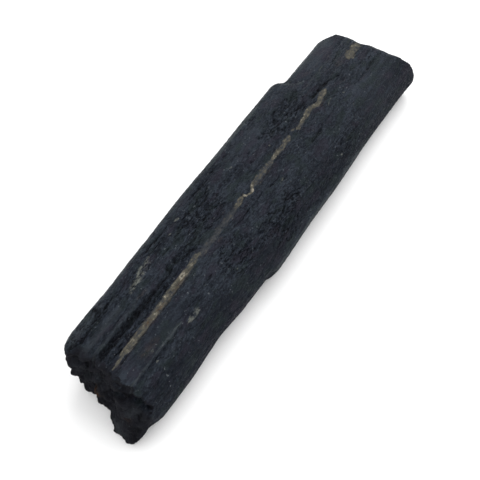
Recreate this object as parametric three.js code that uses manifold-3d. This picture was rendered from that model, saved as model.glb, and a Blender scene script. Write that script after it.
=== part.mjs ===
// A black tourmaline crystal: one natural rod that lies on its flattest side.
// Millimetres. +X runs along the rod, from its broken end to its rounded end, and +Z is up.
// The finished solid's origin is the middle of its bounding rectangle, on the underside.

import * as THREE from 'three';
import { mergeVertices } from 'three/addons/utils/BufferGeometryUtils.js';
import Module from 'manifold-3d';

// Driving dimensions. Until the solid is centred, x and y are measured from a zero inside the rod.
// The rod is first carried from rodStart to rodEnd, and its ends are then shaped further in.
const rodStart = -44;
const rodEnd = 50;
const brokenEnd = -36.8;
const roundedEnd = 47.2;
const blockReach = 3.5;
const fractureRounding = 0.7;
const overhang = 0.9;
const endRounding = 1.6;
const crownHeight = 12.5;
const crownFall = 0.012;
const crestY = 4;
const grooveDepth = 0.9;
const grooveHalfWidth = 0.8;
const veinSink = 0.25;
const veinHalfWidth = 0.6;
const ridgeHeight = 0.35;
const ridgeInnerWidth = 0.5;
const ridgeOuterWidth = 1.6;
const chipDepth = 0.45;
const chipStart = 4;
const chipFull = 7;
const lipDepth = 0.75;
const lipHeight = 6;

// The block that shapes an end: its size, how far out its middle lies, and the grid on its moulded side.
const cutterDepth = 20;
const cutterWidth = 30;
const cutterHeight = 18;
const cutterDistance = 60;
const cutterColumns = 60;
const cutterRows = 40;

// A rounding takes this share of a quarter circle, so that it meets the skin at a small angle.
const roundingShare = 0.96;

// Ripples of a surface: [height, phase per millimetre of the first place, of the second, phase at zero].
const ribRipples = [[0.07, 2.9, 0.02, 0], [0.07, 4.7, 0, 1]];
const fractureRipples = [[0.25, 2.3, 1.7, 0], [0.2, 4.1, -3.3, 1]];
const wornRipples = [[0.08, 1.9, 1.1, 0]];

// How the crown's height changes along the rod, as [x, z] points.
const crownLine = [[-44, -0.4], [-30, -0.1], [-5, 0], [20, -0.1], [32, -0.4], [50, -1.2]];

// The widest line of each flank, as [x, y] points. The left one steps in at the notch.
const leftOutline = [
	[-44, 10.3], [-38.5, 10.9], [-37, 11.5], [-35, 11.85], [-25, 11.7], [-10, 11.9], [-3, 12], [8, 11.85],
	[26.8, 11.95], [28, 11.6], [29, 10.75], [29.8, 10.45], [50, 10.4],
];
const rightOutline = [
	[-44, -6.3], [-37.5, -6.3], [-36.9, -7], [-34, -7.15], [-28, -7.3], [-23, -7.05], [-19, -6.95],
	[-13, -7.6], [-5.2, -7.85], [-3.6, -8.8], [8, -8.5], [17, -8.65], [29, -8.4], [38, -8.45],
	[44, -8.5], [50, -8.9],
];

// The flanks' profiles, from the top down, as [distance in from the widest line, height] points.
const leftFlank = [[3.2, 12.45], [1.7, 12.2], [0.9, 11.85], [0.25, 11], [0, 9.9], [0.15, 8.2],
	[0.5, 6.2], [1.1, 4.2], [2, 2.2], [3, 0.8], [4, 0]];
const rightFlank = [[5, 11.75], [3.7, 11.15], [2.5, 10.2], [1.4, 8.8], [0.7, 7.4], [0.3, lipHeight + 0.35],
	[0.1, lipHeight - 0.15], [0, 4.6], [0.4, 2.9], [1, 1.3], [1.8, 0]];
const widestOnRight = 7;
const rightShoulder = rightFlank.slice(0, widestOnRight + 1).toReversed();

// Fixed columns across the top, so that the lengthwise grooves and ridges run true.
const firstColumn = -1.2;
const lastColumn = 6.8;
const columnStep = 0.5;

// The outer slab of the right flank, which stands out below a lengthwise crease: [x, share of lipDepth].
const lipLine = [[-5.2, 0], [-3.6, 1], [14, 1], [27, 0]];

// Centre lines of the surface features, as [x, y] points.
const veinLine = [[-36, 2], [-24, 2.2], [-13, 1.5], [0, 1.8], [8, 1.4], [20, 1.9], [30, 2.1]];
const grooveLine = [[-38, 2.8], [-24, 3], [-12, 2.9]];
const ridgeLine = [[-38, -3], [-30, -2.1], [-22, -1.1]];

// How much of each feature there is along the rod, as [x, share] points.
const veinReach = [[-36, 0], [-34, 1], [28, 1], [31, 0]];
const grooveReach = [[-44, 1], [-16, 1], [-11, 0]];
const ridgeReach = [[-44, 1], [-25, 1], [-21, 0]];
const chipReach = [[27.2, 0], [28.6, 1], [48, 1]];

// The broken end's upper edge, and how far its lower block stands out past it, across the rod.
const brokenEdge = [[-9.5, -1.6], [-7.3, -1.2], [-5.4, -0.7], [-3, -0.3], [0, -0.5], [2, 0], [5, 0.1], [8, 0],
	[8.9, -0.6], [9.7, -0.8], [10.4, -0.7], [10.9, -0.3], [11.3, 0.5], [11.9, 2.2]];
const blockAcross = [[-8, 0.8], [-5.6, 0.88], [-4.7, 0.97], [-2.5, 1.03], [-0.8, 0.88], [0.8, 0.4], [1.8, 0]];
const overhangAcross = [[-7.5, 1], [-1, 1], [1, 0.2]];

// How far the broken face leans out down to the floor, across the rod.
const leanAcross = [[0, 1.2], [3, 2.4], [4.6, 2.4], [6, 1.6], [8, 1.5], [9.5, 0.9], [11, 0.6]];

// The same block and the hollow above it, as [share of the rod's height, share of the reach] points.
const blockUp = [[0, 1], [0.2, 0.9], [0.38, 0.7], [0.55, 0.5], [0.7, 0.3], [0.8, 0.1], [0.84, 0]];
const overhangUp = [[0.8, 0], [0.86, 1], [0.92, 1], [0.97, 0]];

// The rounded end's edge seen from above, across the rod.
const roundedEdge = [[-9.2, 1.9], [-8.2, 2.3], [-6.6, 1.4], [-4.7, 0.8], [0, -0.1], [3.5, -0.9], [6.3, -0.7],
	[8.1, -1.1], [8.8, -2.5], [10.3, -5]];

// The value at one place on a line of [place, value] points.
function valueOn(points, place) {
	const next = points.findIndex(([at]) => at > place);
	if (next < 0) {
		return points.at(-1)[1];
	}
	if (next === 0) {
		return points[0][1];
	}
	const [from, low] = points[next - 1];
	const [to, high] = points[next];
	return THREE.MathUtils.lerp(low, high, (place - from) / (to - from));
}

function rippleAt(ripples, first, second) {
	const heights = ripples.map(([height, a, b, phase]) => height * Math.sin(a * first + b * second + phase));
	return heights.reduce((sum, height) => sum + height);
}

// 1 at the middle of a groove or ridge, falling smoothly to 0 at its edges.
function bump(offset, halfWidth) {
	return 1 - THREE.MathUtils.smoothstep(Math.abs(offset), 0, halfWidth);
}

// The height that the lengthwise features add at one point of the upper side.
function featureHeight(x, y) {
	const ribs = rippleAt(ribRipples, y, x);
	const groove = grooveDepth * valueOn(grooveReach, x) * bump(y - valueOn(grooveLine, x), grooveHalfWidth);
	const vein = veinSink * valueOn(veinReach, x) * bump(y - valueOn(veinLine, x), veinHalfWidth);
	const fromRidge = y - valueOn(ridgeLine, x);
	const ridgeWidth = fromRidge < 0 ? ridgeInnerWidth : ridgeOuterWidth;
	const ridge = ridgeHeight * valueOn(ridgeReach, x) * bump(fromRidge, ridgeWidth);
	const chip = chipDepth * valueOn(chipReach, x) * THREE.MathUtils.smoothstep(y, chipStart, chipFull);
	return ribs + ridge - groove - vein - chip;
}

function crownAt(x, y) {
	return crownHeight + valueOn(crownLine, x) - crownFall * (y - crestY) ** 2;
}

// The height of the upper side at one point, with the right shoulder but without the surface features.
function skinAt(x, y) {
	const inset = y - valueOn(rightOutline, x);
	return inset < rightShoulder.at(-1)[0] ? valueOn(rightShoulder, inset) : crownAt(x, y);
}

// How far an end's edge is rounded back, from how far into the rounding it lies.
function roundedBack(radius, into) {
	const share = THREE.MathUtils.clamp(into / radius, 0, 1);
	return radius * (1 - Math.sqrt(1 - roundingShare * share ** 2));
}

// The rod's section at x, anticlockwise when seen from its rounded end.
function sectionAt(x) {
	const left = valueOn(leftOutline, x);
	const right = valueOn(rightOutline, x);
	const lip = lipDepth * valueOn(lipLine, x);
	const crown = valueOn(crownLine, x);
	const lifted = (z) => z + crown * z / crownHeight;
	const section = [];
	for (const [inset, z] of leftFlank.toReversed()) {
		const y = left - inset;
		section.push([y, z > lipHeight ? lifted(z) + featureHeight(x, y) * z / crownHeight : lifted(z)]);
	}
	for (let y = lastColumn; y >= firstColumn; y -= columnStep) {
		section.push([y, crownAt(x, y) + featureHeight(x, y)]);
	}
	for (const [inset, z] of rightFlank) {
		const y = right + inset + (z > lipHeight ? lip : 0);
		section.push([y, lifted(z)]);
	}
	return section;
}

// Evenly spaced places along the rod.
function spread(from, to, count) {
	return Array.from({ length: count }, (_, i) => from + (to - from) * i / count);
}

// The rod before its ends are shaped: its section carried along x, and closed at both ends.
function rodGeometry() {
	const stations = [
		...spread(rodStart, -6, 28),
		...spread(-6, -4, 4),
		...spread(-4, 26, 21),
		...spread(26, 30, 7),
		...spread(30, rodEnd, 14),
		rodEnd,
	];
	const rings = stations.map((x) => sectionAt(x));
	const count = rings[0].length;
	const positions = [];
	rings.forEach((ring, i) => {
		for (const [y, z] of ring) {
			positions.push(stations[i], y, z);
		}
	});
	const triangles = [];
	for (let i = 0; i + 1 < rings.length; i += 1) {
		for (let j = 0; j < count; j += 1) {
			const here = i * count + j;
			const beside = i * count + (j + 1) % count;
			triangles.push(here, beside + count, here + count);
			triangles.push(here, beside, beside + count);
		}
	}
	const lastRing = (rings.length - 1) * count;
	const outline = rings.map((ring) => ring.map(([y, z]) => new THREE.Vector2(y, z)));
	for (const [a, b, c] of THREE.ShapeUtils.triangulateShape(outline[0], [])) {
		triangles.push(a, c, b);
	}
	for (const [a, b, c] of THREE.ShapeUtils.triangulateShape(outline.at(-1), [])) {
		triangles.push(lastRing + a, lastRing + b, lastRing + c);
	}
	const geometry = new THREE.BufferGeometry();
	geometry.setAttribute('position', new THREE.Float32BufferAttribute(positions, 3));
	geometry.setIndex(triangles);
	return geometry;
}

// Where the broken end's face lies, as x at (y, z).
function brokenFace(y, z) {
	const skin = skinAt(brokenEnd, y);
	const lean = valueOn(leanAcross, y) * (1 - z / crownHeight);
	const block = blockReach * valueOn(blockAcross, y) * valueOn(blockUp, z / skin);
	const hollow = overhang * valueOn(overhangUp, z / skin) * valueOn(overhangAcross, y);
	const rounding = roundedBack(fractureRounding, z - skin + fractureRounding);
	const grain = rippleAt(fractureRipples, y, z);
	return brokenEnd + valueOn(brokenEdge, y) - lean - block + hollow + rounding + grain;
}

// Where the rounded end's face lies, as x at (y, z).
function roundedFace(y, z) {
	const intoTop = z - crownAt(roundedEnd, y) + endRounding;
	const rounding = roundedBack(endRounding, Math.max(intoTop, endRounding - z));
	return roundedEnd + valueOn(roundedEdge, y) - rounding + rippleAt(wornRipples, y, z);
}

// A block that covers everything past one end, with the end's face moulded into its inner side.
function endCutter(face, side) {
	const geometry = new THREE.BoxGeometry(
		cutterDepth, cutterWidth, cutterHeight, 1, cutterColumns, cutterRows);
	geometry.translate(side * cutterDistance, 0, crownHeight / 2);
	const place = geometry.attributes.position;
	for (let i = 0; i < place.count; i += 1) {
		const inner = side * place.getX(i) < cutterDistance;
		if (inner) {
			place.setX(i, face(place.getY(i), place.getZ(i)));
		}
	}
	return geometry;
}

const wasm = await Module();
wasm.setup();

// A closed geometry as a solid that can be cut.
function solidOf(geometry) {
	geometry.deleteAttribute('normal');
	geometry.deleteAttribute('uv');
	const merged = mergeVertices(geometry, 1e-4);
	return new wasm.Manifold(new wasm.Mesh({
		numProp: 3,
		vertProperties: new Float32Array(merged.attributes.position.array),
		triVerts: new Uint32Array(merged.index.array),
	}));
}

function geometryOf(solid) {
	const mesh = solid.getMesh();
	const geometry = new THREE.BufferGeometry();
	geometry.setAttribute('position', new THREE.BufferAttribute(mesh.vertProperties, 3));
	geometry.setIndex(new THREE.BufferAttribute(mesh.triVerts, 1));
	return geometry;
}

const rod = solidOf(rodGeometry());
const broken = rod.subtract(solidOf(endCutter(brokenFace, -1)));
const shaped = broken.subtract(solidOf(endCutter(roundedFace, 1)));
const crystalGeometry = geometryOf(shaped);

crystalGeometry.computeBoundingBox();
const middle = crystalGeometry.boundingBox.getCenter(new THREE.Vector3());
crystalGeometry.translate(-middle.x, -middle.y, 0);
crystalGeometry.computeVertexNormals();

const blackTourmaline = new THREE.MeshStandardMaterial({
	color: 0x2b2f36,
	roughness: 0.55,
	metalness: 0,
});

const crystal = new THREE.Mesh(crystalGeometry, blackTourmaline);
crystal.name = 'crystal';

const part = new THREE.Group();
part.add(crystal);

export default part;
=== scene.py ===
import math
import bmesh
import bpy
import numpy as np
from mathutils import Matrix, Vector


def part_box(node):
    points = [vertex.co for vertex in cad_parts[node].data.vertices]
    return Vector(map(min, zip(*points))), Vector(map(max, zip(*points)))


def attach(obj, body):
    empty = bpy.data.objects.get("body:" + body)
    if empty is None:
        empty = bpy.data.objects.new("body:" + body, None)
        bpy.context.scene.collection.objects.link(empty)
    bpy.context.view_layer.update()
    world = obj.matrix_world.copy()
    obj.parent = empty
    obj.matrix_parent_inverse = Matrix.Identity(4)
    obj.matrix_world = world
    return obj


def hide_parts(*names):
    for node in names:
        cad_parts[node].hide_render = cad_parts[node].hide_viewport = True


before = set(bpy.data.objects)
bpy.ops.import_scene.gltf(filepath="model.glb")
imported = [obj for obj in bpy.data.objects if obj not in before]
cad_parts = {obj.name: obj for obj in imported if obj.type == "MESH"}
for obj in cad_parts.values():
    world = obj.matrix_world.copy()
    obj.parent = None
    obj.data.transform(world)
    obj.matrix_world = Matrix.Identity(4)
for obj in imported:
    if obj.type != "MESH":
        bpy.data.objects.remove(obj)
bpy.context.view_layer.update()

lowCorner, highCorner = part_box("crystal")
millimetre = 0.001
perMetre = 1000    # millimetres

# Places on the rod are in millimetres. Along runs from the broken end, across from the right flank, and
# height from the floor. They start at the low corner of the rod's box, moved by the rod's "zero".

rod = {
    "zero": (0.2, 0, 0),
    "mergeGap": 0.002,
    "faceSize": 0.125,      # of the finest faces, across the rod
    "faceStretch": 2.0,     # faces are this much longer along the rod
    "softening": 4,
    "mostTriangles": 192000,
    "seed": 11,
    "swell": 0.08,          # makes up for what softening takes off
    "leftSwell": 0.1,       # the same again, on the left side
    "wander": 0.11,         # how far the marks stray from their lines
    "broadRibs": 0.07,
    "fineRibs": 0.018,
    "waves": 0.07,
    "grain": 0.034,
    "pitDepth": 0.25,
    "crust": 0.09,          # height of the vein's crust
}

# A thin lip along the right flank, raised a little, with a light line that is partly wear and partly
# painted highlight.
flankLip = {
    "start": 37,
    "end": 70,
    "height": 5.5,
    "halfWidth": 0.75,
    "rise": 0.08,
    "wearAndHighlight": 0.9,
}

brokenEnd = {
    "softenTo": 7.5,        # its upper edge is softened this far along,
    "softenAbove": 7.5,     # above this height
    "softenBeyond": 3,      # and further across than this
    "softening": 14,
    "lumps": 0.62,
    "grain": 0.11,
    "cleftDepth": 1.1,
    "cleftHalfWidth": 0.4,
    "crumbled": 0.85,       # how broken the crumbled part of the upper side looks
}

roundedEnd = {
    "start": 80,
    "steps": 0.12,          # shallow steps across the grain
    "grain": 0.05,
    "swell": 0.06,
    # the rounded end's edge is lighter with wear and painted highlight
    "wearAndHighlight": 0.75,
    "sideWearAndHighlight": 0.5,        # on the left side, past the notch
}

# Seeded noises of the skin: number of the field, then its grain's size along, across and in height.
grains = {
    "ragged": (2, 1.6, 1.1, 3),
    "raggedFine": (3, 0.6, 0.5, 1),
    "strayAlong": (0, 1.1, 0.8, 3),
    "strayAcross": (1, 1.3, 0.5, 3),
    "strayFine": (2, 0.4, 0.25, 3),
    "frayAlong": (5, 0.7, 0.45, 3),
    "frayAcross": (6, 0.55, 0.35, 3),
    "fraying": (7, 0.9, 0.3, 0.3),
    "roughEdge": (3, 2, 1, 4),
    "smallPits": (4, 0.9, 0.36, 0.36),
    "tearing": (5, 2.4, 0.62, 0.62),
    "breaks": (3, 1.7, 1.1, 1.1),
    "fineTearing": (6, 1.2, 0.34, 0.34),
    "broadRibs": (6, 22, 0.95, 0.95),
    "fineRibs": (7, 12, 0.4, 0.4),
    "waves": (0, 6, 2.4, 2.4),
    "grain": (1, 0.55, 0.3, 0.3),
    "lumps": (2, 1.9, 1.9, 1.6),
    "crumbs": (3, 0.65, 0.65, 0.6),
    "fineCrumbs": (4, 0.32, 0.32, 0.32),
    "endSteps": (5, 3, 2.6, 2.6),
    "endGrain": (6, 0.8, 0.8, 0.8),
}

# Furrows and cracks: points along the line as (along, across), half width, depth.
furrows = [
    # the open channel beside the vein, and the lines that run with it
    ([(4.6, 13.45), (8, 13.4), (12, 13.35), (16, 13.25), (20.5, 13.15)], 0.56, 0.6),
    ([(18, 13.2), (20.4, 12.9), (22.2, 13.3), (24, 12.9), (26, 13.4)], 0.36, 0.36),
    ([(6, 14.93), (15.5, 15)], 0.13, 0.14),
    ([(5.6, 17.9), (7.4, 17.6), (9, 17.9), (11.5, 17.5), (13.8, 17.7)], 0.24, 0.22),
    ([(5.2, 18.6), (6.2, 18.1)], 0.3, 0.4),
    ([(10.6, 18.2), (12.6, 18.1), (15.3, 18.4)], 0.26, 0.24),
    ([(8, 17), (10.4, 16.9)], 0.16, 0.16),
    ([(6.6, 10.1), (16, 10.08), (27.2, 10.1)], 0.12, 0.2),
    ([(4.5, 11.3), (6, 11.2), (6.9, 10.9)], 0.22, 0.3),
    ([(8.6, 6.4), (12, 6.3), (15, 6.3)], 0.1, 0.14),
    # left side
    ([(25, 18.85), (28, 18.8), (31.5, 18.7)], 0.25, 0.3),
    ([(25, 17.95), (30, 17.85)], 0.18, 0.2),
    ([(15.5, 18.3), (18, 18.1), (20, 18.3)], 0.2, 0.16),
    ([(26, 16.05), (28.6, 15.8)], 0.16, 0.22),
    ([(38.6, 18.55), (41, 18.5), (44, 18.35)], 0.24, 0.32),
    ([(45.1, 18.6), (46.4, 18.55)], 0.26, 0.28),
    ([(48.9, 18.7), (49.6, 18.6)], 0.24, 0.24),
    ([(59, 19.1), (60.2, 19)], 0.28, 0.24),
    # the pitted stretch left of the vein
    ([(32, 17.3), (32.8, 16.2)], 0.2, 0.22),
    ([(33.5, 15.9), (35.3, 16)], 0.22, 0.22),
    ([(35.5, 17.25), (37.5, 17), (39, 17.3)], 0.16, 0.18),
    ([(38.5, 17), (41.2, 17.05), (42, 17.3)], 0.2, 0.24),
    ([(36, 16.2), (38, 16.1)], 0.15, 0.18),
    ([(39, 16.2), (41, 16.5)], 0.18, 0.22),
    ([(34.8, 14.9), (38, 15.2)], 0.16, 0.16),
    ([(35, 14.25), (37.5, 14.1)], 0.2, 0.22),
    ([(39, 13.8), (40.6, 13.7)], 0.22, 0.26),
    ([(34.3, 13.4), (36, 13.3)], 0.16, 0.18),
    ([(36.4, 12.4), (38.4, 12.1)], 0.22, 0.22),
    ([(29.6, 12.6), (31, 12)], 0.28, 0.28),
    ([(48.3, 12.9), (49.6, 12.85)], 0.2, 0.2),
    # the torn stretch right of the vein
    ([(21.5, 7.1), (24, 6.9)], 0.15, 0.14),
    ([(27, 7.2), (28.4, 7.1)], 0.24, 0.28),
    ([(30.2, 6.75), (32.5, 6.6)], 0.17, 0.2),
    ([(33, 6.6), (35.6, 6.7)], 0.17, 0.18),
    ([(33, 5.7), (35.5, 5.55)], 0.2, 0.24),
    ([(33.3, 4.7), (35.2, 4.5), (36.6, 4.2)], 0.24, 0.26),
    ([(35.5, 5.3), (37.2, 4)], 0.2, 0.24),
    ([(38, 8.9), (40, 8.6), (42, 8.75), (44, 8.6), (46.6, 8.8)], 0.13, 0.2),
    ([(48, 8.3), (49.8, 8.1), (51.3, 8)], 0.16, 0.24),
    ([(51.2, 7.2), (52.4, 7.1)], 0.2, 0.24),
    ([(44.5, 7.2), (46.8, 7)], 0.14, 0.16),
    ([(42, 5.1), (43.2, 3.8), (44.6, 2.4)], 0.18, 0.24),
    ([(43, 2.4), (46.8, 2.6)], 0.13, 0.16),
    ([(45.8, 3.9), (47, 4.3), (48.3, 4.95), (49.3, 4.8)], 0.18, 0.22),
    ([(49, 4.8), (51, 4.5), (52.2, 3.9)], 0.15, 0.2),
    ([(39, 5.1), (40.6, 4.9)], 0.2, 0.18),
    ([(52.5, 3.2), (55, 2.9), (58, 2.6)], 0.12, 0.16),
    # between the vein and the rounded end
    ([(60.3, 14.8), (61.4, 15.5), (62.8, 16.3)], 0.28, 0.3),
    ([(63.5, 15.5), (65, 15.2), (66.2, 14.9)], 0.2, 0.22),
    ([(60, 14.2), (62, 14)], 0.18, 0.2),
    ([(63, 14.2), (65.5, 14.1), (68, 13.9)], 0.2, 0.2),
    ([(65.4, 13.2), (67, 13.05)], 0.34, 0.38),
    ([(69, 12.6), (70, 12.5)], 0.26, 0.26),
    ([(60, 12.6), (63, 12.4), (65.5, 12.8)], 0.15, 0.16),
    ([(61, 7), (62.8, 7.05), (64.6, 7.15)], 0.16, 0.24),
    ([(65, 7.6), (68, 7.5)], 0.2, 0.13),
    # the cleft where the vein stops
    ([(69.6, 12.2), (73, 12.05), (75.2, 11.8)], 0.4, 0.42),
    ([(74.6, 11.85), (76.6, 11.3), (78, 10.7)], 0.24, 0.26),
    ([(64, 13.7), (68, 13.1), (72, 12.8), (75.6, 12.4)], 1.1, 0.14),
    ([(77.5, 13.4), (79.5, 13.35), (81.7, 13.6)], 0.17, 0.22),
    ([(77.6, 7.5), (79.2, 7.3), (82, 7.1), (86, 7.2)], 0.4, 0.24),
    ([(70.5, 18.6), (71.6, 17.3), (72.6, 16.2), (73.4, 15.6)], 0.3, 0.1),
    ([(75, 16.9), (75.8, 16.2)], 0.25, 0.12),
]

# Ridges: points along the line, half width, height.
ribs = [
    ([(5.2, 14.4), (11, 14.4), (17.3, 14.3)], 0.36, 0.16),
    ([(5, 6.8), (12, 6.72), (18.5, 6.5)], 0.2, 0.2),
    ([(69.7, 18.5), (70.8, 17.2), (71.7, 16.3), (72.3, 15.7)], 0.16, 0.14),
    ([(5, 18.9), (9, 19.1), (15, 19.2)], 0.7, 0.22),
]

# Single pits: along, across, radius, depth.
pits = [
    (12.7, 18.7, 0.34, 0.32),
    (25.2, 13.7, 0.55, 0.4),
    (26.9, 13.75, 0.62, 0.46),
    (28.3, 12.7, 0.5, 0.32),
    (17.3, 16.1, 0.34, 0.24),
    (50.7, 13.9, 0.32, 0.22),
    (56.2, 15.4, 0.4, 0.28),
    (57.4, 15.4, 0.4, 0.28),
    (79, 7.3, 0.45, 0.22),
    (77.1, 9.6, 0.32, 0.2),
    (66.9, 18.3, 0.34, 0.18),
]

# Hollows and knobs (depth below 0) of the broken end: across, height, radius, depth.
endHollows = [
    (15.7, 9.1, 0.8, 1),
    (18.6, 10.7, 0.45, 0.5),
    (14.2, 5.6, 0.5, 0.45),
    (12.4, 8.6, 0.6, 0.4),
    (9.9, 5.6, 1.1, 0.9),
    (6, 8.3, 0.4, 0.35),
    (4.6, 6.9, 0.45, 0.35),
    (7.6, 4.6, 0.6, 0.3),
    (17.2, 8.6, 0.9, -0.45),
    (18.2, 7, 0.7, -0.35),
    (13.6, 7.2, 1, -0.35),
    (12, 4.6, 1, -0.35),
    (6.8, 7.6, 0.7, -0.3),
    (5.1, 7.8, 0.7, -0.35),
]
# The cleft between the block and the rod's upper edge, carved in and darkened with painted shade, as
# (across, height).
blockCleft = [(10.6, 7.2), (8.4, 8.6), (6.6, 9.3), (5, 9.1), (4, 8.3), (3.1, 7.8), (2.8, 7.1)]
# Facets of the broken end darkened with painted shade: across, height, radius, share.
paintedShadeFacets = [(4.3, 4.3, 1, 1), (3.9, 2.4, 1.2, 0.8)]
# Greyer facets of the broken end, partly greyer stone and partly painted light on the block's lit knobs:
# across, height, radius, share.
greyAndLitFacets = [
    (7.6, 2.2, 1.5, 1),
    (6.6, 0.8, 1.2, 0.6),
    (15.6, 6.4, 1, 0.3),
    (17.4, 8.8, 0.8, 0.5),
    (5.4, 7.4, 1.1, 0.7),
    (16.4, 7.4, 1.6, 0.4),
    (12.6, 8.2, 1.2, 0.5),
]

# Stretches of the upper side that are rougher or smoother: along, across, half length, half width, share.
roughStretches = [
    (36.5, 15, 6.5, 3.3, 1),
    (30, 13, 4, 1.6, 0.7),
    (15, 12.25, 11, 0.75, 0.9),
    (20, 17.4, 6, 1.9, 0.5),
    (28, 17.5, 5, 2.2, 0.5),
    (34, 6, 5, 3.2, 0.8),
    (45, 3.6, 8, 3, 0.8),
    (57, 2, 8, 1.6, 0.5),
    (63.5, 14.3, 8.5, 2.6, 0.75),
    (66, 2.3, 6, 1.5, 0.6),
    (10, 18.6, 7, 1.5, 0.9),
    (79, 13.8, 5, 1.6, 0.35),
]
smoothStretches = [
    (13, 8.4, 10, 1.7, 1),
    (10.5, 16.2, 5, 0.8, 1),
    (79, 17, 8, 2.2, 0.9),
    (81, 4.5, 8, 3.4, 0.8),
    (52, 17, 7, 1.6, 0.5),
]

# The vein: points along the line, half width, cover, and tone from grey (0) through tan (0.5) to cream (1).
veinRuns = [
    ([(6.2, 10.75), (9.8, 10.8)], 0.4, 0.72, 0.34),
    ([(9.2, 10.92), (15, 10.85), (20, 10.8), (27.6, 10.9)], 0.66, 1, 0.46),
    ([(8.8, 11.2), (11.6, 11.3)], 0.34, 1, 0.72),
    ([(24.4, 10.95), (26.6, 10.9)], 0.5, 1, 0.95),
    ([(8.9, 10.95), (13, 10.9)], 0.62, 1, 0.5),
    ([(18.2, 10.7), (19.4, 10.7)], 0.3, 1, 0.6),
    ([(11.4, 11.2), (15, 11.15)], 0.2, 1, 0.6),
    ([(20.5, 11.05), (25, 11.1)], 0.28, 1, 0.62),
    ([(27, 10.95), (30.2, 11.05)], 0.62, 0.8, 0.42),
    ([(29.2, 10.8), (34, 10.72), (41.8, 10.75)], 0.66, 0.62, 0.02),
    ([(41.3, 10.8), (43.8, 11)], 0.44, 0.9, 0.46),
    ([(44.1, 11.05), (44.8, 10.45), (45.4, 10.15), (46, 10.4), (46.7, 11.1)], 0.23, 1, 0.9),
    ([(46.4, 10.85), (50, 10.85), (53.4, 10.85)], 0.54, 0.82, 0.24),
    ([(50.6, 10.9), (52.4, 11)], 0.4, 0.8, 0.42),
    ([(53.5, 10.85), (54.7, 11)], 0.34, 1, 0.86),
    ([(54.6, 11.05), (56, 10.9), (57, 10.6)], 0.42, 0.95, 0.56),
    ([(56.5, 10.85), (59.5, 11)], 0.5, 0.86, 0.4),
    ([(60.6, 11.3), (61.5, 11.2)], 0.22, 0.8, 0.45),
    ([(61.7, 10.6), (63, 10.7), (64.7, 11)], 0.44, 0.92, 0.5),
    ([(64.9, 10.9), (66.3, 11.1), (68.4, 11.05)], 0.5, 1, 0.52),
    ([(68, 10.6), (69.6, 10.6), (71, 10.9), (73, 11.05)], 0.52, 1, 0.5),
    ([(82.6, 11.5), (84.5, 11.8), (87.4, 11.8)], 0.9, 1, 0.5),
    ([(46.5, 10.95), (47.4, 11.2)], 0.22, 0.9, 0.5),
]

# Pale greenish weathering: points along the line, half width, cover.
paleSpots = [
    ([(18.3, 16.2), (20.2, 16.6), (22.5, 17.2), (25, 17.6)], 0.85, 0.62),
    ([(19.7, 16.5), (20.9, 16.6)], 0.6, 1),
    ([(21.6, 17.35), (23.2, 17.6)], 0.32, 0.95),
    ([(19.4, 5.75), (22.4, 5.6)], 0.55, 0.6),
    ([(19.6, 5.75), (20.6, 5.7)], 0.42, 1),
    ([(11.5, 7.6), (12.6, 7.5)], 0.3, 0.75),
    ([(10.9, 5.95), (11.4, 5.9)], 0.16, 1),
    ([(33.2, 18.1), (34.3, 17.9)], 0.2, 0.95),
    ([(30.2, 17.4), (30.8, 17.2)], 0.17, 0.7),
    ([(47.4, 16.3), (48, 16)], 0.24, 0.75),
    ([(50, 16.2), (51.4, 16.8)], 0.13, 0.55),
    ([(55.5, 13.1), (56, 12.7)], 0.24, 0.55),
    ([(50.2, 7.15), (51.4, 7.35)], 0.18, 0.85),
    ([(31.8, 4.8), (32, 4.5)], 0.2, 0.75),
    ([(39, 10.3), (39.2, 10.05)], 0.16, 0.9),
    ([(39, 12.1), (39.3, 12)], 0.14, 0.6),
    ([(18, 11.9), (18.2, 11.8)], 0.15, 0.8),
    ([(26.2, 11.9), (26.8, 11.7)], 0.16, 0.7),
    ([(26, 7), (26.4, 6.8)], 0.16, 0.7),
    ([(25.2, 8.7), (25.5, 8.5)], 0.2, 0.45),
    ([(48, 9.9), (48.3, 10)], 0.12, 0.8),
    ([(60, 11.7), (60.3, 11.8)], 0.15, 0.8),
    ([(63.1, 8.3), (63.4, 8)], 0.24, 0.55),
    ([(69.4, 8.7), (71.9, 9.1)], 0.2, 0.42),
    ([(74.4, 8.1), (74.7, 7.9)], 0.24, 0.6),
    ([(73.2, 5.1), (73.8, 5.3)], 0.22, 0.55),
    ([(76, 14.4), (78, 14.8)], 0.22, 0.5),
    ([(80.6, 14.9), (81.6, 15.3)], 0.24, 0.5),
    ([(83.4, 15.8), (84.3, 16.3)], 0.24, 0.42),
    ([(63.4, 1.95), (63.9, 1.95)], 0.14, 0.8),
    ([(70, 1.5), (70.9, 1.4)], 0.12, 0.6),
    ([(81, 8.3), (81.6, 8.1)], 0.36, 0.32),
    ([(14, 18.5), (14.4, 18.6)], 0.16, 0.55),
    ([(18, 18.9), (18.4, 18.9)], 0.18, 0.45),
    ([(24.2, 19.1), (24.5, 19)], 0.15, 0.4),
]

# Lighter edges and ridges, partly wear and partly painted highlight where they catch the light: points
# along the line, half width, share.
wornAndLitEdges = [
    ([(45.2, 19.75), (53, 19.85), (62.5, 19.8)], 0.34, 1),
    ([(59, 19.9), (69, 19.9)], 0.3, 0.45),
    ([(4.5, 19.6), (12, 19.9), (30, 20), (44.8, 19.9)], 0.5, 0.42),
    ([(5, 18.9), (9, 19), (14, 19)], 0.8, 0.4),
    ([(70.4, 18.2), (84.6, 18.2)], 0.4, 0.42),
    ([(83, 17.8), (85.6, 17.6)], 0.9, 0.5),
    ([(69.7, 18.6), (70.8, 17.2), (71.7, 16.3), (72.3, 15.7)], 0.24, 1),
    ([(5, 6.8), (12, 6.72), (18.5, 6.5)], 0.17, 0.8),
    ([(14.5, 6.7), (18.6, 6.55)], 0.26, 1),
    ([(5.2, 14.4), (17, 14.35)], 0.34, 0.4),
    ([(6, 16.1), (15, 16)], 0.7, 0.3),
]

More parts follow.
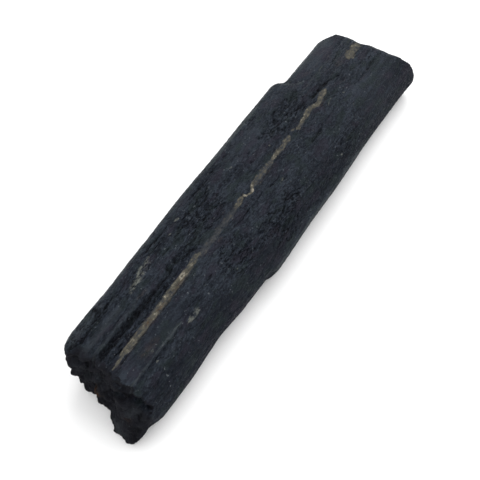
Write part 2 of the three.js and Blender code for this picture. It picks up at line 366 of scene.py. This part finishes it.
# Rust and brown staining: points along the line, half width, share.
rustStains = [
    ([(6.6, 10.1), (16, 10.08), (27.4, 10.1)], 0.13, 0.12),
    ([(15, 10.75), (16.2, 10.7)], 0.4, 0.6),
    ([(17.8, 10.7), (19.6, 10.65)], 0.3, 0.5),
    ([(22, 10.55), (25.5, 10.6)], 0.22, 0.4),
    ([(10, 8.1), (14, 7.9)], 0.7, 0.2),
    ([(18, 14.6), (20, 14.3)], 0.4, 0.2),
    ([(34, 9.6), (35, 9.5)], 0.24, 0.25),
    ([(79.5, 12.2), (82, 12.5)], 0.6, 0.2),
    ([(47, 10.1), (53, 10.1)], 0.16, 0.25),
    ([(69, 9.8), (71.5, 10)], 0.2, 0.25),
]
# Rust on the broken end: across, height, radius, share.
endRust = [(13.3, 3.9, 0.85, 1), (13, 5, 0.5, 0.4), (6, 5.4, 0.7, 0.2)]


def smoothStep(low, high, value):
    share = np.clip((value - low) / (high - low), 0, 1)
    return share * share * (3 - 2 * share)


slopeCount = 256    # of each noise field, a power of two
fieldCount = 8


class GrainField:
    # Seeded gradient noise, from about -1 to 1.
    def __init__(self, seed):
        draw = np.random.default_rng(seed)
        self.order = draw.permutation(slopeCount)
        slopes = draw.normal(size=(slopeCount, 3))
        self.slopes = slopes / np.linalg.norm(slopes, axis=1)[:, None]

    def at(self, x, y, z):
        place = np.stack(np.broadcast_arrays(x, y, z), 1)
        cell = np.floor(place).astype(int)
        inside = place - cell
        blend = inside ** 3 * (inside * (inside * 6 - 15) + 10)
        wrap = slopeCount - 1
        total = np.zeros(len(place))
        for corner in np.ndindex(2, 2, 2):
            first, second, third = ((cell + corner) & wrap).T
            index = self.order[(first + self.order[(second + self.order[third]) & wrap]) & wrap]
            weight = np.prod(np.where(corner, blend, 1 - blend), axis=1)
            total += weight * ((inside - corner) * self.slopes[index]).sum(1)
        return total * 1.6


grainFields = [GrainField(rod["seed"] + i) for i in range(fieldCount)]


def grainOf(name, along, across, height):
    field, alongSize, acrossSize, heightSize = grains[name]
    return grainFields[field].at(along / alongSize, across / acrossSize, height / heightSize)


def nearLine(along, across, points):
    # Distance from a line of points, and how near the middle of its length (1) or its ends (0).
    best = np.full(len(along), np.inf)
    run = np.zeros(len(along))
    lengths = [math.dist(a, b) for a, b in zip(points, points[1:])]
    done = 0
    for (start, end), length in zip(zip(points, points[1:]), lengths):
        way = ((end[0] - start[0]) / length, (end[1] - start[1]) / length)
        reach = (along - start[0]) * way[0] + (across - start[1]) * way[1]
        on = np.clip(reach, 0, length)
        away = np.hypot(along - start[0] - on * way[0], across - start[1] - on * way[1])
        nearer = away < best
        best = np.where(nearer, away, best)
        run = np.where(nearer, (done + on) / sum(lengths), run)
        done += length
    return best, 1 - np.abs(2 * run - 1)


def lineShare(along, across, points, halfWidth):
    # 1 on the line, falling to 0 beside it and thinner towards its ends.
    share = np.zeros(len(along))
    edge = 3 * halfWidth
    alongs, acrosses = zip(*points)
    close = (along > min(alongs) - edge) & (along < max(alongs) + edge)
    close &= (across > min(acrosses) - edge) & (across < max(acrosses) + edge)
    away, inner = nearLine(along[close], across[close], points)
    width = halfWidth * (0.55 + 0.45 * smoothStep(0, 0.25, inner))
    share[close] = np.exp(-((away / width) ** 2) ** 1.3)
    return share


def spotShare(first, second, place, radius):
    away = np.hypot(first - place[0], second - place[1]) / radius
    return np.exp(-away ** 2.4)


def strongestLine(along, across, lines):
    best = np.zeros(len(along))
    for points, halfWidth, share in lines:
        best = np.maximum(best, share * lineShare(along, across, points, halfWidth))
    return best


def strongestSpot(first, second, spots):
    best = np.zeros(len(first))
    for middle, side, radius, share in spots:
        best = np.maximum(best, share * spotShare(first, second, (middle, side), radius))
    return best


def strongestStretch(along, across, stretches):
    best = np.zeros(len(along))
    for middle, side, halfLength, halfWidth, share in stretches:
        away = np.hypot((along - middle) / halfLength, (across - side) / halfWidth)
        best = np.maximum(best, share * (1 - smoothStep(0.65, 1.15, away)))
    return best


def partsOfSkin(along, across, height, normals):
    # Shares of the upward side, the broken end, the rounded end and all between the two ends.
    upward = smoothStep(0.02, 0.35, normals[:, 2]) * smoothStep(4.5, 6.5, height)
    broken = smoothStep(0.25, 0.6, -normals[:, 0]) * (along < 8.5)
    broken = np.maximum(broken, smoothStep(4.9, 3.9, along))
    # The upper side crumbles away towards the broken end, left of the vein.
    ragged = along + 0.9 * grainOf("ragged", along, across, height)
    ragged += 0.4 * grainOf("raggedFine", along, across, height)
    crumbled = smoothStep(6.9, 5.6, ragged) * smoothStep(8.4, 10.4, across)
    crumbled *= smoothStep(18.6, 17.6, across)
    crumbled *= smoothStep(0.02, 0.35, normals[:, 2])
    broken = np.maximum(broken, brokenEnd["crumbled"] * crumbled)
    rounded = smoothStep(0.3, 0.7, normals[:, 0]) * (along > roundedEnd["start"])
    return upward, broken, rounded, 1 - np.maximum(broken, rounded)


def veinMarks(along, across, top):
    # How much of the skin the vein covers, and its tone there.
    cover = np.zeros(len(along))
    toneSum = np.full(len(along), 0.002)
    toneWeight = np.full(len(along), 0.01)
    for points, halfWidth, share, colour in veinRuns:
        here = share * lineShare(along, across, points, halfWidth) * top
        weight = here ** 2 * (0.2 + colour)
        toneSum += weight * colour
        toneWeight += weight
        cover = np.maximum(cover, here)
    return cover, toneSum / toneWeight


def pittedShare(along, across, strayAcross, height):
    # Small pits and torn creases that run with the grain.
    smallPits = smoothStep(0.14, 0.46, grainOf("smallPits", along, across, height))
    tearing = grainOf("tearing", along, strayAcross, height)
    breaks = grainOf("breaks", along, across, height)
    creases = smoothStep(0.15, 0.02, np.abs(tearing)) * smoothStep(-0.12, 0.2, breaks)
    fineTearing = grainOf("fineTearing", along, strayAcross, height)
    fineCreases = 0.7 * smoothStep(0.13, 0.02, np.abs(fineTearing)) * smoothStep(0, 0.3, -breaks)
    return 0.6 * smallPits + np.maximum(creases, fineCreases)


def readSurface(places, normals):
    # How far each point of the rod's skin rises or sinks, and what it is covered with.
    along, across, height = places.T
    upward, broken, rounded, sides = partsOfSkin(along, across, height, normals)
    top = upward * sides

    # The marks stray from their drawn lines, and the furrows fray as well.
    strayAlong = along + 0.25 * grainOf("strayAlong", along, across, height)
    strayAcross = across + rod["wander"] * grainOf("strayAcross", along, across, height)
    strayAcross += 0.05 * grainOf("strayFine", along, across, height)
    frayedAlong = strayAlong + 0.3 * grainOf("frayAlong", along, across, height)
    frayedAcross = strayAcross + 0.13 * grainOf("frayAcross", along, across, height)
    fraying = 1 + 1.1 * grainOf("fraying", along, across, height)

    roughAcross = across + 0.5 * grainOf("roughEdge", along, across, height)
    rough = strongestStretch(strayAlong, roughAcross, roughStretches) * top
    calm = strongestStretch(strayAlong, strayAcross, smoothStretches) * top
    rough = np.maximum(rough, 0.35 * (1 - calm) * sides)

    depth = strongestLine(frayedAlong, frayedAcross, furrows)
    depth = np.maximum(depth, strongestSpot(frayedAlong, frayedAcross, pits)) * top
    depth = depth * np.clip(fraying, 0.25, 1.2)
    rise = strongestLine(strayAlong, strayAcross, ribs) * top
    pitted = pittedShare(along, across, strayAcross, height) * rough * sides

    ribGrain = rod["broadRibs"] * grainOf("broadRibs", along, across, height)
    ribGrain += rod["fineRibs"] * grainOf("fineRibs", along, across, height)
    waves = rod["waves"] * grainOf("waves", along, across, height)
    grain = grainOf("grain", along, across, height)
    skin = (ribGrain + waves) * sides - rod["pitDepth"] * pitted
    skin += rod["grain"] * grain * (0.5 + 2 * rough) * (1 - 0.7 * calm)
    skin += rise - depth + rod["swell"] * sides

    # The right flank and its lip. The flank is darkened with painted shade, most under the lip; the lip is
    # raised a little and lightened with wear and painted highlight.
    facingRight = smoothStep(0.15, 0.7, -normals[:, 1]) * sides
    lip = np.exp(-((height - flankLip["height"]) / flankLip["halfWidth"]) ** 2) * facingRight
    stretch = smoothStep(flankLip["start"] - 1, flankLip["start"] + 1, strayAlong)
    stretch *= smoothStep(flankLip["end"] + 2, flankLip["end"] - 2, strayAlong)
    lip *= stretch
    skin += flankLip["rise"] * lip
    underLip = smoothStep(flankLip["height"] - 0.5, flankLip["height"] - 1.7, height)
    flank = facingRight * smoothStep(11.8, 9, height) * (0.4 + 0.6 * underLip)

    # The broken end: lumps, hollows and a granular face. The block that stands out of it is smoother.
    block = smoothStep(6.6, 5.6, height) * smoothStep(8.8, 7.8, across)
    lumps = grainOf("lumps", along, across, height)
    crumbs = grainOf("crumbs", along, across, height)
    crumbs += 0.5 * grainOf("fineCrumbs", along, across, height)
    relief = (brokenEnd["lumps"] * lumps + brokenEnd["grain"] * crumbs) * (1 - 0.75 * block)
    for side, level, radius, sink in endHollows:
        relief -= sink * spotShare(across, height, (side, level), radius)
    relief -= brokenEnd["cleftDepth"] * lineShare(across, height, blockCleft, brokenEnd["cleftHalfWidth"])
    skin += relief * broken

    # The rounded end is worn soft, and so is the left side.
    steps = roundedEnd["steps"] * grainOf("endSteps", along, across, height)
    steps += roundedEnd["grain"] * grainOf("endGrain", along, across, height)
    skin += rounded * (steps + roundedEnd["swell"])
    skin += rod["leftSwell"] * smoothStep(0.2, 0.6, normals[:, 1]) * sides

    vein, veinTone = veinMarks(strayAlong, strayAcross, top)
    skin += rod["crust"] * vein * (0.6 + 0.4 * crumbs)

    pale = strongestLine(strayAlong, strayAcross, paleSpots) * top
    rust = strongestLine(strayAlong, strayAcross, rustStains) * top
    rust = np.maximum(rust, strongestSpot(across, height, endRust) * broken)

    # Lighter where worn, with painted highlight where edges catch the light: the rounded end's edge, the
    # left side past the notch, the listed edges, the greyer and lit facets of the broken end and the
    # flank's lip.
    worn = roundedEnd["wearAndHighlight"] * smoothStep(0.15, 0.5, normals[:, 0])
    worn = worn * smoothStep(80, 83, along) * smoothStep(5, 8, height)
    sideWornAndLit = roundedEnd["sideWearAndHighlight"] * smoothStep(0.3, 0.6, normals[:, 1]) * smoothStep(68, 71, along)
    worn = np.maximum(worn, sideWornAndLit)
    worn = np.maximum(worn, strongestLine(along, strayAcross, wornAndLitEdges) * upward)
    worn = np.maximum(worn, 0.45 * (strongestSpot(across, height, greyAndLitFacets) * broken))
    worn = np.maximum(worn, flankLip["wearAndHighlight"] * lip)

    # Painted shade: darker colour in the furrows, pits and creases, in the hollows, crumbs and cleft of the
    # broken end and on its shaded facets.
    hollow = np.clip(depth / 0.42 + 0.7 * pitted, 0, 1.2)
    paintedEndShade = np.clip(-relief * 1.3 - 0.8 * crumbs * (1 - 0.6 * block), 0, 1)
    hollow = np.maximum(hollow, broken * paintedEndShade)
    hollow = np.maximum(hollow, strongestSpot(across, height, paintedShadeFacets) * broken)

    marks = {"vein": vein, "veinTone": veinTone, "pale": pale, "worn": worn, "rust": rust,
             "rough": rough, "hollow": hollow, "fracture": broken, "flank": flank}
    return skin, marks


def linkedObject(name, data):
    thing = bpy.data.objects.new(name, data)
    bpy.context.scene.collection.objects.link(thing)
    return thing


def finishedMesh(piece):
    # The piece's mesh with its modifiers applied.
    depsgraph = bpy.context.evaluated_depsgraph_get()
    mesh = bpy.data.meshes.new_from_object(piece.evaluated_get(depsgraph))
    piece.modifiers.clear()
    return mesh


def placesOf(mesh):
    flat = np.empty(len(mesh.vertices) * 3)
    mesh.vertices.foreach_get("co", flat)
    return flat.reshape(-1, 3)


def normalsOf(mesh):
    flat = np.empty(len(mesh.vertices) * 3, np.float32)
    mesh.vertex_normals.foreach_get("vector", flat)
    return flat.reshape(-1, 3).astype(float)


def movePoints(mesh, places):
    mesh.vertices.foreach_set("co", places.ravel())
    mesh.update()


def addSoftening(piece, rounds, group=""):
    soften = piece.modifiers.new("soften", "SMOOTH")
    soften.factor = 0.5
    soften.iterations = rounds
    soften.vertex_group = group


def softenBrokenEnd(piece):
    # The upper edge of the broken end is worn round.
    along, across, height = placesOf(piece.data).T
    worn = (along * rod["faceStretch"] < brokenEnd["softenTo"]) & (height > brokenEnd["softenAbove"])
    worn &= across > brokenEnd["softenBeyond"]
    group = piece.vertex_groups.new(name="brokenEnd")
    group.add(np.flatnonzero(worn).tolist(), 1, "REPLACE")
    addSoftening(piece, brokenEnd["softening"], group.name)


def buildRod():
    # A merged copy of the CAD solid, laid on an even skin of fine faces and then sculpted.
    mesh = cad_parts["crystal"].data.copy()
    zero = lowCorner + Vector(rod["zero"]) * millimetre
    toMillimetres = Matrix.Diagonal((perMetre / rod["faceStretch"], perMetre, perMetre, 1))
    toMillimetres = toMillimetres @ Matrix.Translation(-zero)
    sculpt = bmesh.new()
    sculpt.from_mesh(mesh)
    bmesh.ops.transform(sculpt, matrix=toMillimetres, verts=sculpt.verts)
    bmesh.ops.remove_doubles(sculpt, verts=sculpt.verts, dist=rod["mergeGap"])
    sculpt.to_mesh(mesh)
    sculpt.free()
    piece = linkedObject("tourmaline_rod", mesh)
    skin = piece.modifiers.new("evenSkin", "REMESH")
    skin.mode = "VOXEL"
    skin.voxel_size = rod["faceSize"]
    addSoftening(piece, rod["softening"])
    piece.data = finishedMesh(piece)
    softenBrokenEnd(piece)
    mesh = finishedMesh(piece)
    places = placesOf(mesh) * (rod["faceStretch"], 1, 1)
    movePoints(mesh, places)
    print("even skin:", len(mesh.polygons), "faces")

    # The skin is sculpted, and kept inside the box of the CAD solid.
    normals = normalsOf(mesh)
    rise = readSurface(places, normals)[0]
    low, high = [np.array(corner - zero) / millimetre for corner in (lowCorner, highCorner)]
    places = np.clip(places + normals * rise[:, None], low, high)
    movePoints(mesh, places)
    piece.data = mesh

    # It is thinned out, and the marks are read again for the points that stay.
    thin = piece.modifiers.new("thin", "DECIMATE")
    thin.ratio = min(1, rod["mostTriangles"] / (2 * len(mesh.polygons)))
    mesh = finishedMesh(piece)
    places = placesOf(mesh)
    marks = readSurface(places, normalsOf(mesh))[1]
    for name, values in marks.items():
        attribute = mesh.attributes.new(name, "FLOAT", "POINT")
        attribute.data.foreach_set("value", values.astype(np.float32))
    movePoints(mesh, places * millimetre + np.array(zero))
    mesh.shade_smooth()
    piece.data = mesh
    print("sculpted rod:", len(mesh.polygons), "faces")
    return piece


stone = {
    "dark": (0.0063, 0.0088, 0.0142),
    "light": (0.0252, 0.0316, 0.0424),
    "violet": (0.0176, 0.0162, 0.0254),
    "green": (0.0124, 0.0190, 0.0202),
    # painted shade in the hollows, creases and pits
    "hollowShade": (0.0007, 0.0010, 0.0020),
    "fracture": (0.0088, 0.0086, 0.0112),
    # worn edges, partly painted highlight
    "worn": (0.042, 0.050, 0.055),
    # painted glints
    "glint": (0.100, 0.110, 0.120),
    "pale": (0.130, 0.136, 0.120),
    "rust": (0.055, 0.028, 0.014),
    "veinDull": (0.043, 0.046, 0.051),
    "veinTan": (0.080, 0.075, 0.060),
    "veinCream": (0.315, 0.29, 0.235),
    "bands": 0.6,           # how much each of these changes the shade
    "longBands": 0.6,
    "blotches": 0.7,
    # painted shade on the right flank
    "paintedFlankShade": 0.6,
    "tints": 0.6,
    "gloss": 0.4,           # roughness where the stone is glossiest
    "shine": 0.08,
    "bumpStrength": 0.9,
    "bumpDepth": 0.00032,
}


def nodeMaker(material):
    # Short calls for the material's nodes and links.
    tree = material.node_tree

    def newNode(kind, **settings):
        node = tree.nodes.new(kind)
        for name, value in settings.items():
            setattr(node, name, value)
        return node

    def put(socket, value):
        if isinstance(value, bpy.types.NodeSocket):
            tree.links.new(value, socket)
        elif isinstance(value, tuple) and len(value) == 3 and socket.type == "RGBA":
            socket.default_value = (*value, 1)
        else:
            socket.default_value = value

    def mark(name):
        return newNode("ShaderNodeAttribute", attribute_name=name).outputs["Fac"]

    def noise(vector, scale, detail=2.0, roughness=0.5):
        node = newNode("ShaderNodeTexNoise")
        put(node.inputs["Vector"], vector)
        put(node.inputs["Scale"], scale)
        put(node.inputs["Detail"], detail)
        put(node.inputs["Roughness"], roughness)
        return node.outputs["Fac"]

    def ramp(value, low, high, to=(0.0, 1.0)):
        node = newNode("ShaderNodeMapRange", interpolation_type="SMOOTHSTEP")
        put(node.inputs["Value"], value)
        put(node.inputs["From Min"], low)
        put(node.inputs["From Max"], high)
        put(node.inputs["To Min"], to[0])
        put(node.inputs["To Max"], to[1])
        return node.outputs["Result"]

    def combine(operation, first, second, clamp=False):
        node = newNode("ShaderNodeMath", operation=operation, use_clamp=clamp)
        put(node.inputs[0], first)
        put(node.inputs[1], second)
        return node.outputs[0]

    def plus(first, second, clamp=False):
        return combine("ADD", first, second, clamp)

    def minus(first, second):
        return combine("SUBTRACT", first, second)

    def times(first, second):
        return combine("MULTIPLY", first, second)

    def larger(first, second):
        return combine("MAXIMUM", first, second)

    def nearTo(value, middle, width):
        return ramp(combine("ABSOLUTE", minus(value, middle), 0), width, 0.0)

    def mix(share, first, second):
        node = newNode("ShaderNodeMix", data_type="RGBA")
        put(node.inputs["Factor"], share)
        put(node.inputs["A"], first)
        put(node.inputs["B"], second)
        return node.outputs["Result"]

    return newNode, put, mark, noise, ramp, plus, minus, times, larger, nearTo, mix


def tourmalineStone():
    material = bpy.data.materials.new("tourmaline_stone")
    material.use_nodes = True
    material.node_tree.nodes.clear()
    newNode, put, mark, noise, ramp, plus, minus, times, larger, nearTo, mix = nodeMaker(material)
    place = newNode("ShaderNodeTexCoord").outputs["Object"]

    def stretched(along, around):
        # Object coordinates in millimetres, drawn out along the rod.
        node = newNode("ShaderNodeMapping")
        put(node.inputs["Vector"], place)
        put(node.inputs["Scale"], (perMetre / along, perMetre / around, perMetre / around))
        return node.outputs["Vector"]

    even = stretched(1, 1)
    short = stretched(2, 1)
    drawn = stretched(5, 1)

    # Dark and light stone, in blotches and bands along the rod, with violet and green tints, and painted
    # shade on the right flank.
    fine = noise(short, 3.0, 3.0, 0.7)
    grit = noise(even, 4.2, 2.0, 0.7)
    blotch = noise(short, 0.9, 3.0, 0.6)
    bands = times(noise(stretched(3, 1), 0.3, 2.0), stone["bands"])
    shade = plus(bands, times(blotch, stone["blotches"]))
    shade = plus(shade, times(noise(stretched(12, 1), 1.6, 3.0, 0.6), stone["longBands"]))
    fineLift = minus(plus(fine, times(grit, 0.4)), 0.7)
    fineLift = times(fineLift, ramp(mark("rough"), 0.05, 0.7, (0.7, 2.8)))
    shade = plus(shade, fineLift)
    # Painted shade on the right flank, from its mark.
    shade = minus(shade, times(mark("flank"), stone["paintedFlankShade"]))
    colour = mix(ramp(shade, 0.68, 1.25), stone["dark"], stone["light"])
    tint = noise(short, 0.5, 2.0)
    colour = mix(ramp(tint, 0.53, 0.66, (0.0, stone["tints"])), colour, stone["violet"])
    colour = mix(ramp(tint, 0.47, 0.34, (0.0, stone["tints"])), colour, stone["green"])

    # Torn creases and small pits that run with the grain, dense where the skin is rough. They are bumps,
    # and get painted shade as well.
    tearing = noise(stretched(2.6, 0.8), 1.0, 3.0, 0.6)
    patches = ramp(noise(short, 1.1, 2.0), 0.42, 0.56)
    tears = times(nearTo(tearing, 0.5, 0.04), patches)
    pocks = ramp(noise(stretched(1.6, 0.7), 2.0, 2.0, 0.6), 0.6, 0.7)
    torn = times(larger(tears, pocks), ramp(mark("rough"), 0.0, 0.8, (0.12, 1.0)))

    # The broken end, worn edges with painted highlight, painted shade in the hollows and painted glints as
    # bright specks.
    colour = mix(times(mark("fracture"), 0.85), colour, stone["fracture"])
    wearGrain = ramp(noise(drawn, 1.7, 3.0, 0.6), 0.32, 0.6, (0.3, 1.0))
    colour = mix(times(mark("worn"), wearGrain), colour, stone["worn"])
    # Painted shade in the hollows, creases and pits.
    hollowGrain = ramp(fine, 0.36, 0.62, (1.0, 0.6))
    hollow = times(ramp(mark("hollow"), 0.05, 0.85, (0.0, 0.9)), hollowGrain)
    hollow = larger(hollow, times(torn, 0.8))
    colour = mix(hollow, colour, stone["hollowShade"])
    # Painted glints: bright specks, fewer on the broken end.
    glintSpecks = ramp(noise(even, 2.3, 2.0, 0.6), 0.63, 0.74)
    glintSpecks = times(glintSpecks, ramp(blotch, 0.45, 0.6, (0.15, 0.8)))
    glintSpecks = times(glintSpecks, ramp(mark("fracture"), 0.0, 1.0, (1.0, 0.3)))
    colour = mix(glintSpecks, colour, stone["glint"])

    # Pale weathering in ragged patches.
    paleGrain = minus(noise(short, 1.9, 4.0, 0.75), 0.5)
    paleShare = plus(mark("pale"), times(paleGrain, 3.0))
    paleShare = times(ramp(paleShare, 0.3, 1.25), ramp(mark("pale"), 0.03, 0.5))
    colour = mix(paleShare, colour, stone["pale"])

    # The vein goes from grey through tan to cream, and its grain lets some dark stone through.
    veinGrain = noise(stretched(1.6, 1), 2.0, 4.0, 0.65)
    grainLift = minus(veinGrain, 0.5)
    tone = times(grainLift, ramp(mark("veinTone"), 0.1, 0.4, (1.8, 2.8)))
    tone = plus(mark("veinTone"), tone)
    veinColour = mix(ramp(tone, 0.05, 0.6), stone["veinDull"], stone["veinTan"])
    veinColour = mix(ramp(tone, 0.62, 1.3), veinColour, stone["veinCream"])
    veinEdge = plus(mark("vein"), times(grainLift, 1.2))
    veinShare = times(ramp(veinEdge, 0.15, 0.75), ramp(mark("vein"), 0.04, 0.35))
    veinColour = mix(ramp(veinGrain, 0.42, 0.34, (0.0, 0.25)), veinColour, stone["dark"])
    colour = mix(veinShare, colour, veinColour)
    rustShare = times(mark("rust"), ramp(fine, 0.38, 0.6, (0.2, 1.0)))
    colour = mix(rustShare, colour, stone["rust"])

    # Duller in the hollows, on the flank, on the broken end and on the vein.
    roughness = ramp(blotch, 0.35, 0.65, (stone["gloss"], stone["gloss"] + 0.2))
    roughness = plus(roughness, ramp(grit, 0.3, 0.7, (-0.12, 0.12)))
    roughness = plus(roughness, times(hollow, 0.25))
    roughness = plus(roughness, times(mark("flank"), 0.3))
    roughness = plus(roughness, times(mark("fracture"), 0.5))
    roughness = plus(roughness, times(veinShare, 0.3), clamp=True)

    skin = plus(times(noise(drawn, 2.6, 3.0, 0.6), 0.3), times(fine, 1.3))
    skin = plus(skin, times(grit, 0.8))
    skin = minus(skin, times(torn, 0.7))
    bump = newNode("ShaderNodeBump")
    put(bump.inputs["Strength"], stone["bumpStrength"])
    put(bump.inputs["Distance"], stone["bumpDepth"])
    put(bump.inputs["Height"], skin)

    shader = newNode("ShaderNodeBsdfPrincipled")
    put(shader.inputs["Base Color"], colour)
    put(shader.inputs["Roughness"], roughness)
    put(shader.inputs["Specular IOR Level"], stone["shine"])
    put(shader.inputs["Normal"], bump.outputs["Normal"])
    output = newNode("ShaderNodeOutputMaterial")
    put(output.inputs["Surface"], shader.outputs["BSDF"])
    return material


studio = {
    "skyStrength": 1.17,
    "floorColour": (0.93, 0.93, 0.93),
    "floorRoughness": 0.9,
    "floorShine": 0.1,
    "floorSize": 4.0,
}

# Directions are in degrees around the rod (0 is on the right flank's side) and up from the floor.
softbox = {"azimuth": 98, "elevation": 48, "distance": 0.8, "size": 0.7, "power": 4.5}

view = {
    "aim": (0.4309, 0.4165, 0.4754),    # shares of the rod's box
    "azimuth": -57.1,
    "elevation": 60.0,
    "distance": 0.14287,
    "lens": 60.0,
    "sensor": 36,
    "nearest": 0.005,
    "furthest": 20,
}


def placeAround(thing, middle, place):
    # Puts a light or camera at its azimuth, elevation and distance from a point, looking back at it.
    turn, lift = math.radians(place["azimuth"]), math.radians(place["elevation"])
    way = Vector((math.sin(turn) * math.cos(lift), -math.cos(turn) * math.cos(lift), math.sin(lift)))
    thing.location = middle + way * place["distance"]
    thing.rotation_mode = "QUATERNION"
    thing.rotation_quaternion = (-way).to_track_quat("-Z", "Y")


def paleFloor():
    mesh = bpy.data.meshes.new("floor")
    ground = bmesh.new()
    bmesh.ops.create_grid(ground, x_segments=1, y_segments=1, size=studio["floorSize"] / 2)
    bmesh.ops.translate(ground, verts=ground.verts, vec=(0, 0, lowCorner.z))
    ground.to_mesh(mesh)
    ground.free()
    floor = linkedObject("floor", mesh)
    material = bpy.data.materials.new("pale_floor")
    material.use_nodes = True
    shader = material.node_tree.nodes["Principled BSDF"]
    shader.inputs["Base Color"].default_value = (*studio["floorColour"], 1)
    shader.inputs["Roughness"].default_value = studio["floorRoughness"]
    shader.inputs["Specular IOR Level"].default_value = studio["floorShine"]
    mesh.materials.append(material)


def buildStudio():
    scene = bpy.context.scene
    scene.view_settings.view_transform = "Standard"
    world = bpy.data.worlds.new("white_room")
    world.use_nodes = True
    background = world.node_tree.nodes["Background"]
    background.inputs["Color"].default_value = (1, 1, 1, 1)
    background.inputs["Strength"].default_value = studio["skyStrength"]
    scene.world = world
    paleFloor()

    light = bpy.data.lights.new("softbox", "AREA")
    light.size = softbox["size"]
    light.energy = softbox["power"]
    placeAround(linkedObject("softbox", light), Vector((0, 0, 0)), softbox)

    camera = bpy.data.cameras.new("camera")
    camera.lens = view["lens"]
    camera.sensor_width = view["sensor"]
    camera.clip_start = view["nearest"]
    camera.clip_end = view["furthest"]
    scene.camera = linkedObject("camera", camera)
    size = highCorner - lowCorner
    aim = lowCorner + Vector([share * length for share, length in zip(view["aim"], size)])
    placeAround(scene.camera, aim, view)
    print("studio: floor, softbox and camera")


rodPiece = buildRod()
rodPiece.data.materials.clear()
rodPiece.data.materials.append(tourmalineStone())
print("tourmaline stone on the rod")
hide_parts("crystal")
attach(rodPiece, "root")
buildStudio()
